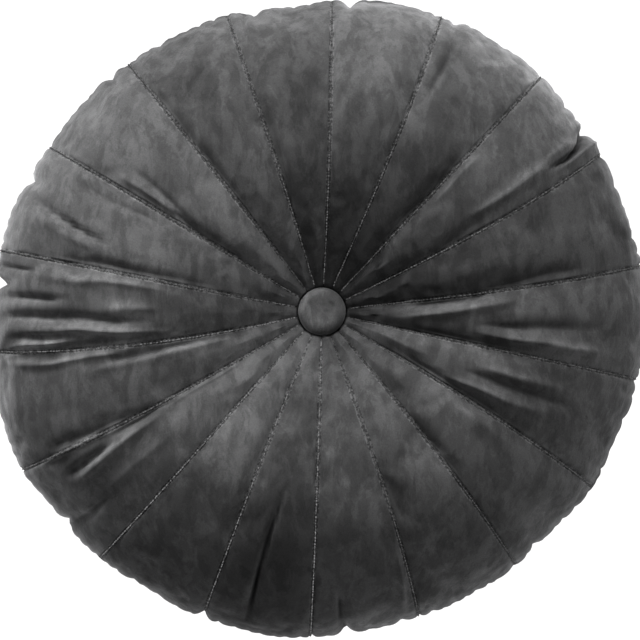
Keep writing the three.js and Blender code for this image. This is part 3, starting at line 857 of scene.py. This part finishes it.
def groove_share(rings):
    """1 along the bottoms of the seams' two grooves, and 0 away from them."""
    column = panel_columns() + np.zeros((len(rings), 1))
    from_seam, panel = seam_distance(column, np.hypot(rings[..., 0], rings[..., 1]))
    narrowing = channel_narrowing(panel)
    inside = smoothstep(from_seam, WELT_FLAT * narrowing, WELT_HALF * narrowing)
    return inside * (1 - smoothstep(from_seam, CHANNEL_FLAT * narrowing, CHANNEL_HALF * narrowing))


def note(piece, name, values):
    """Keeps a number at each of a piece's points, for its material to read."""
    kept = piece.data.attributes.new(name, "FLOAT", "POINT")
    kept.data.foreach_set("value", values)


def note_rings(piece, name, values, at_middles):
    """Keeps a number at each point of a closed mesh's rings, and one number for its two middle points."""
    note(piece, name, np.append(values.ravel(), [at_middles, at_middles]))


def make_cover(rings):
    """The velvet cover, with the tone of its nap, its painted light and shade, and its pressed grooves
    noted for its material.
    """
    cover = closed_mesh("velvet_cushion", rings, SEAT_HEIGHT, BACK_DIMPLE_HEIGHT)
    note_rings(cover, "nap_tone", nap_tone(rings), 1)
    note_rings(cover, "groove", groove_share(rings), 0)
    return cover


def seam_path(rings, seam):
    """The channel's bottom along one seam, from the button to the edge seam."""
    return rings[1 : 1 + INNER_RINGS + OUTER_RINGS, seam * PANEL_COLUMNS]


def unit(vectors):
    return vectors / np.linalg.norm(vectors, axis=-1, keepdims=True)


def stitch_sections(path, start, stray):
    """Centres and radii of one stitch's tube: it dips into the cloth at both ends."""
    gone = np.concatenate([[0], np.cumsum(np.linalg.norm(np.diff(path, axis=0), axis=1))])
    t = np.linspace(0, 1, THREAD_STEPS)
    at = start + t * STITCH_LENGTH
    centres = np.stack([np.interp(at, gone, path[:, axis]) for axis in range(3)], axis=-1)
    along = unit(np.gradient(centres, axis=0))
    side = unit(np.cross(along, [0, 0, 1.0]))
    up = np.cross(side, along)
    arch = np.sin(np.pi * t)[:, None]
    centres = centres + up * (THREAD_LIFT * (2 * arch - 1)) + side * stray * t[:, None]
    turns = np.linspace(0, 2 * np.pi, THREAD_SIDES, endpoint=False)[None, :, None]
    radius = THREAD_RADIUS * lerp(THREAD_END, 1, arch)[:, :, None]
    return centres[:, None] + radius * (np.cos(turns) * side[:, None] + np.sin(turns) * up[:, None])


def tube_faces(first):
    """Faces of one closed stitch whose points start at an index."""
    faces = []
    for step in range(THREAD_STEPS - 1):
        here = first + step * THREAD_SIDES
        beyond = here + THREAD_SIDES
        for side in range(THREAD_SIDES):
            after = (side + 1) % THREAD_SIDES
            faces.append((here + side, beyond + side, beyond + after, here + after))
    last = first + (THREAD_STEPS - 1) * THREAD_SIDES
    faces.append(tuple(range(first, first + THREAD_SIDES)))
    faces.append(tuple(range(last + THREAD_SIDES - 1, last - 1, -1)))
    return faces


def make_stitching(rings):
    """All topstitches, as one joined mesh of short thread tubes in the channels."""
    choose = random.Random(STITCH_SEED)
    points = []
    faces = []
    seam_painted_lights = []
    for seam in range(len(SEAMS)):
        path = seam_path(rings, seam)
        length = np.linalg.norm(np.diff(path, axis=0), axis=1).sum()
        for place in np.arange(STITCH_SHIFT, length - STITCH_LENGTH - STITCH_SHIFT, STITCH_PITCH):
            start = place + choose.uniform(-STITCH_SHIFT, STITCH_SHIFT)
            stray = choose.uniform(-STITCH_WANDER, STITCH_WANDER)
            faces += tube_faces(len(points) * THREAD_STEPS * THREAD_SIDES)
            points.append(stitch_sections(path, start, stray).reshape(-1, 3))
            # each seam's thread tone is painted light
            seam_painted_lights.append(SEAMS[seam].thread)
    stitching = mesh_object("seam_topstitching", np.concatenate(points), faces)
    note(stitching, "thread_tone", np.repeat(seam_painted_lights, THREAD_STEPS * THREAD_SIDES))
    return stitching


# Covered button
BUTTON_SIDES = 96
BUTTON_RINGS = 36
BUTTON_TOP = 0.497  # its rings start this far round above its widest one, in half turns
BUTTON_FOOT = 0.42  # and end this far round below it
BUTTON_BELLY = 0.36  # height of its widest ring, as a share of the whole
BUTTON_DOME = 0.5  # less flattens the dome's middle
BUTTON_SHOULDER = 1.2  # less fills out its shoulders
BUTTON_SNUG = 0.97  # how far the cloth's edge reaches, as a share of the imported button's radius
BUTTON_LIT_BEARING = 145  # painted light: the button's edge is painted lightest on this side, the side that faces the lamps
BUTTON_PAINTED_LIGHT = 0.4  # how much lighter it is painted there than in the middle, and how much darker the far side is painted as shade
BUTTON_PAINTED_LIGHT_SPAN = (0.5, 0.95)  # shares of the radius between which that painted light and shade set in
BUTTON_GATHERS = [Wave(23, 0.05, 0), Wave(37, 0.035, 57.3)]
BUTTON_GATHER_SPAN = (0.35, -0.6)  # radians above and below the widest ring, between which they set in
# Marks on the button: brushed nap, and painted light and shade such as the light crescent along its upper
# left edge and the dark one along its lower edge
BUTTON_MARKS_AND_PAINTED_LIGHT = [Mark(*row) for row in (
    (12, 11, 1.6, 2.6, 1.2),
    (20, 3, 3, 2, 0.75),
    (34, 4.6, 1, 1.6, 1.25),
    (43, 7.8, 1.6, 2.6, 0.5),
    (84, 4.7, 1.2, 2, 0.7),
    (84, 13, 1, 3, 1.35),
    (135, 12.6, 2.4, 13, 1.75),
    (144, 9.3, 1.6, 2.2, 0.8),
    (200, 11, 1.4, 2.8, 1.25),
    (270, 6, 3, 9, 1.2),
    (285, 13.6, 1.6, 10, 0.65),
    (292, 3.2, 2.4, 2, 0.78),
)]


def make_button():
    """A domed button: flat underneath and rolled at its edge, its cloth a little gathered at the foot."""
    turn = np.linspace(0, 2 * np.pi, BUTTON_SIDES, endpoint=False)[None, :]
    angle = np.linspace(BUTTON_TOP * np.pi, -BUTTON_FOOT * np.pi, BUTTON_RINGS)[:, None]
    belly = BUTTON_HEIGHT * BUTTON_BELLY
    above = belly + (BUTTON_HEIGHT - belly) * np.abs(np.sin(angle)) ** BUTTON_SHOULDER
    below = belly * (1 - np.abs(np.sin(angle)) / math.sin(BUTTON_FOOT * math.pi))
    height = np.where(angle > 0, above, below) + 0 * turn
    radius = BUTTON_SNUG * BUTTON_RADIUS * np.cos(angle) ** BUTTON_DOME + 0 * turn
    gathers = sum_of_waves(BUTTON_GATHERS, np.degrees(turn))
    radius = radius + gathers * smoothstep(angle, *BUTTON_GATHER_SPAN)
    x, y = radius * np.cos(turn), radius * np.sin(turn)
    rings = np.stack([x, y, BUTTON_BASE + height], axis=-1)
    button = closed_mesh("covered_button", rings, BUTTON_BASE + BUTTON_HEIGHT, BUTTON_BASE)
    # Painted light and shade: the button's edge is lighter on the side that faces the lamps and darker on
    # the far side
    edge = smoothstep(radius / BUTTON_RADIUS, *BUTTON_PAINTED_LIGHT_SPAN)
    tone = 1 + BUTTON_PAINTED_LIGHT * edge * np.cos(turn - math.radians(BUTTON_LIT_BEARING))
    tone *= mark_and_painted_light_tone(x, y, BUTTON_MARKS_AND_PAINTED_LIGHT)
    note_rings(button, "nap_tone", tone, 1)
    return button


def node(tree, kind, **settings):
    made = tree.nodes.new(kind)
    for name, value in settings.items():
        setattr(made, name, value)
    return made


def feed(tree, source, target):
    tree.links.new(source, target)


def cloud(tree, place, scale, detail, roughness, swirl):
    """A noise over the piece, about 0.5 in the middle of its range."""
    made = node(tree, "ShaderNodeTexNoise")
    made.inputs["Distortion"].default_value = swirl
    made.inputs["Scale"].default_value = scale
    made.inputs["Detail"].default_value = detail
    made.inputs["Roughness"].default_value = roughness
    feed(tree, place, made.inputs["Vector"])
    return made.outputs["Fac"]


def spread(tree, value, low, high, to_low, to_high):
    """Maps a range of values onto another, smoothly and held at its ends."""
    made = node(tree, "ShaderNodeMapRange", interpolation_type="SMOOTHSTEP")
    limits = {"From Min": low, "From Max": high, "To Min": to_low, "To Max": to_high}
    for name, limit in limits.items():
        made.inputs[name].default_value = limit
    feed(tree, value, made.inputs["Value"])
    return made.outputs["Result"]


def times(tree, a, b):
    made = node(tree, "ShaderNodeMath", operation="MULTIPLY")
    feed(tree, a, made.inputs[0])
    feed(tree, b, made.inputs[1])
    return made.outputs[0]


def raised(tree, height, strength, distance, normal):
    """A bump, on top of those that the given normal has, if there is one."""
    made = node(tree, "ShaderNodeBump")
    made.inputs["Strength"].default_value = strength
    made.inputs["Distance"].default_value = distance
    feed(tree, height, made.inputs["Height"])
    if normal:
        feed(tree, normal, made.inputs["Normal"])
    return made.outputs["Normal"]


def stretched(tree, place, squeeze):
    """The same place, squeezed along Y so that a texture on it runs in streaks."""
    made = node(tree, "ShaderNodeMapping")
    made.inputs["Scale"].default_value = (1, squeeze, 1)
    feed(tree, place, made.inputs["Vector"])
    return made.outputs["Vector"]


def noted(tree, name):
    """A number that was kept at each of the piece's points."""
    return node(tree, "ShaderNodeAttribute", attribute_name=name).outputs["Fac"]


# Materials. A noise has a scale, detail, roughness and swirl, and a part of its range is shown
VELVET_GREY = 0.05
# The button's cloth is the cover's velvet, painted lighter as painted light, since the button sits in the
# dimple's shade
BUTTON_GREY_WITH_PAINTED_LIGHT = 0.13
THREAD_GREY = 0.125
BLUE_TINGE = 1.01  # how much more blue than red the greys have
SPECKLE_NOISE = (650, 1, 0.5, 0)  # of the thread's twist, and of pile that is pressed flat
SPECKLE_SHOWN = (0.44, 0.56)
GROOVE_SPECKLES = (-0.35, 0.4)  # -1 is black, 0 keeps the nap's lightness and 1 doubles it
TWIST_SPECKLES = (0.25, 1)
SHEEN_WEIGHT = (0.2, 0.8)  # where the nap lies darkest, and where it lies lightest
SHEEN_ROUGHNESS = 0.4
SHEEN_TINT = (0.9, 0.9, 0.92, 1)

# Layers of the velvet's nap: soft clouds, brushed patches and streaks, and the fine grain of the pile. A
# squeeze below 1 draws the noise out into streaks, and a bump has a strength and a depth
Layer = namedtuple("Layer", "noise squeeze shown lightness bump")
VELVET_LAYERS = [
    Layer((30, 2, 0.5, 0), 1, (0.3, 0.7), (0.9, 1.1), (0.2, 0.003)),
    Layer((75, 5, 0.65, 0.5), 0.5, (0.45, 0.55), (0.84, 1.12), None),
    Layer((150, 4, 0.6, 0), 0.45, (0.42, 0.56), (0.88, 1.1), (0.3, 0.001)),
    Layer((1000, 3, 0.75, 0), 1, (0.25, 0.75), (0.86, 1.14), (0.3, 0.0003)),
]


def grey(tree, tone, lightness):
    """A grey that is as light as its tone times a lightness that varies over the piece."""
    made = node(tree, "ShaderNodeVectorMath", operation="SCALE")
    made.inputs[0].default_value = (tone, tone, tone * BLUE_TINGE)
    feed(tree, lightness, made.inputs["Scale"])
    return made.outputs[0]


def new_material(name, roughness, specular):
    """A new material, with its tree and its shader."""
    material = bpy.data.materials.new(name)
    material.use_nodes = True
    tree = material.node_tree
    shader = tree.nodes["Principled BSDF"]
    shader.inputs["Roughness"].default_value = roughness
    shader.inputs["Specular IOR Level"].default_value = specular
    return material, tree, shader


def place_on_piece(tree):
    return node(tree, "ShaderNodeTexCoord").outputs["Object"]


def speckle(tree, place, values):
    """Fine speckles from a dark to a light value, as single twists of thread or pressed tufts of pile."""
    return spread(tree, cloud(tree, place, *SPECKLE_NOISE), *SPECKLE_SHOWN, *values)


def layered_nap(tree, place):
    """Lightness and normal of the velvet's layers, over the tone that was noted for its nap and its painted
    light and shade.
    """
    lightness = noted(tree, "nap_tone")
    normal = None
    for layer in VELVET_LAYERS:
        texture = cloud(tree, stretched(tree, place, layer.squeeze), *layer.noise)
        lightness = times(tree, lightness, spread(tree, texture, *layer.shown, *layer.lightness))
        if layer.bump:
            normal = raised(tree, texture, *layer.bump, normal)
    return lightness, normal


def velvet(name, tone):
    """Short-pile velvet, its pile pressed in the grooves and its sheen stronger where the noted tone,
    painted light and shade included, is light.
    """
    material, tree, shader = new_material(name, roughness=0.9, specular=0.1)
    place = place_on_piece(tree)
    lightness, normal = layered_nap(tree, place)
    pressed = times(tree, noted(tree, "groove"), speckle(tree, place, GROOVE_SPECKLES))
    lightness = times(tree, lightness, spread(tree, pressed, -1, 1, 0, 2))
    feed(tree, grey(tree, tone, lightness), shader.inputs["Base Color"])
    feed(tree, spread(tree, lightness, 0, 2, *SHEEN_WEIGHT), shader.inputs["Sheen Weight"])
    shader.inputs["Sheen Roughness"].default_value = SHEEN_ROUGHNESS
    shader.inputs["Sheen Tint"].default_value = SHEEN_TINT
    feed(tree, normal, shader.inputs["Normal"])
    return material


def thread():
    """Matt polyester thread, speckled by its twist, with each seam's painted light from its row."""
    material, tree, shader = new_material("thread", roughness=0.6, specular=0.3)
    twist = speckle(tree, place_on_piece(tree), TWIST_SPECKLES)
    lightness = times(tree, twist, noted(tree, "thread_tone"))
    feed(tree, grey(tree, THREAD_GREY, lightness), shader.inputs["Base Color"])
    return material


FLOOR_SIZE = 8  # metres
FLOOR_COLOUR = (0.9, 0.9, 0.9, 1)


def make_floor():
    """A wide pale floor, as the stage that the cushion rests on."""
    bpy.ops.mesh.primitive_plane_add(size=FLOOR_SIZE)
    floor = bpy.context.object
    floor.name = "pale_floor"
    material, _, shader = new_material("pale_floor", roughness=0.8, specular=0.5)
    shader.inputs["Base Color"].default_value = FLOOR_COLOUR
    floor.data.materials.append(material)
    return floor


# Lamps: where each stands round the cushion and how high, in degrees, then size in metres and power
Lamp = namedtuple("Lamp", "name bearing elevation size power")
LAMP_DISTANCE = 3.0  # metres from the frame's origin
STUDIO_LAMPS = [
    Lamp("key", 116, 13, 1.3, 150),
    Lamp("top", 90, 32, 1.3, 54),
    Lamp("right", 10, 32, 1.3, 30),
    Lamp("right_top", 60, 32, 1.3, 18),
    Lamp("left", 150, 55, 1.3, 18),
    Lamp("lower", 300, 12, 1.3, 12),
]
FLOOR_LAMP = Lamp("floor_lamp", 90, 88, 3.0, 150)
THREAD_LAMP = Lamp("thread_lamp", 90, 80, 1.5, 120)


def area_light(lamp):
    """A square soft light that faces the cushion."""
    data = bpy.data.lights.new(lamp.name, "AREA")
    data.size = lamp.size
    data.energy = lamp.power
    light = new_object(lamp.name, data)
    turn, rise = math.radians(lamp.bearing), math.radians(lamp.elevation)
    toward = Vector((math.cos(turn) * math.cos(rise), math.sin(turn) * math.cos(rise), math.sin(rise)))
    light.location = toward * LAMP_DISTANCE
    light.rotation_euler = toward.to_track_quat("Z", "Y").to_euler()
    return light


# Camera: straight above the face, as in the photograph
FRAME_WIDTH = 0.3968  # metres that the view spans at the height of the edge seam
BUTTON_OFFSET = (0.0012, 0.0053)  # the button stands this far right of and above the view's middle
LENS = 150
SENSOR = 36


def make_camera():
    """The camera at the distance that its lens needs to span the frame's width."""
    data = bpy.data.cameras.new("camera")
    data.lens = LENS
    data.sensor_width = SENSOR
    camera = new_object("camera", data)
    distance = FRAME_WIDTH * LENS / SENSOR
    camera.location = (AXIS.x - BUTTON_OFFSET[0], AXIS.y - BUTTON_OFFSET[1], EDGE_HEIGHT * MM + distance)
    bpy.context.scene.camera = camera


def piece_group(name, pieces):
    """A collection of pieces, for a lamp to light or to be blocked by."""
    group = bpy.data.collections.new(name)
    for piece in pieces:
        group.objects.link(piece)
    return group


def light_only(light, pieces):
    """Keeps a light's direct light to the given pieces."""
    light.light_linking.receiver_collection = piece_group(light.name + "_lights", pieces)


def make_studio():
    """No light from the surroundings, a low soft key from the top of the frame, and weak fills round it."""
    world = bpy.data.worlds.new("studio")
    world.use_nodes = True
    world.node_tree.nodes["Background"].inputs["Strength"].default_value = 0
    bpy.context.scene.world = world
    bpy.context.scene.view_settings.view_transform = "Standard"
    return [area_light(lamp) for lamp in STUDIO_LAMPS]


make_camera()
studio = make_studio()
floor = make_floor()
rings = relaxed(cushion_rings())
cushion = make_cover(rings)
cushion.data.materials.append(velvet("velvet", VELVET_GREY))
stitching = make_stitching(rings)
stitching.data.materials.append(thread())
button = make_button()
button.data.materials.append(velvet("button_velvet", BUTTON_GREY_WITH_PAINTED_LIGHT))

# The lamp over the floor whitens it without a shadow, and the one for the thread keeps all seams as light
for light in studio:
    light_only(light, [cushion, button])
floor_lamp = area_light(FLOOR_LAMP)
light_only(floor_lamp, [floor])
floor_lamp.light_linking.blocker_collection = piece_group("floor_lamp_shadows", [floor])
light_only(area_light(THREAD_LAMP), [stitching])

for piece in (cushion, stitching, button):
    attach(piece, "root")
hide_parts("cushion")
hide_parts("button")
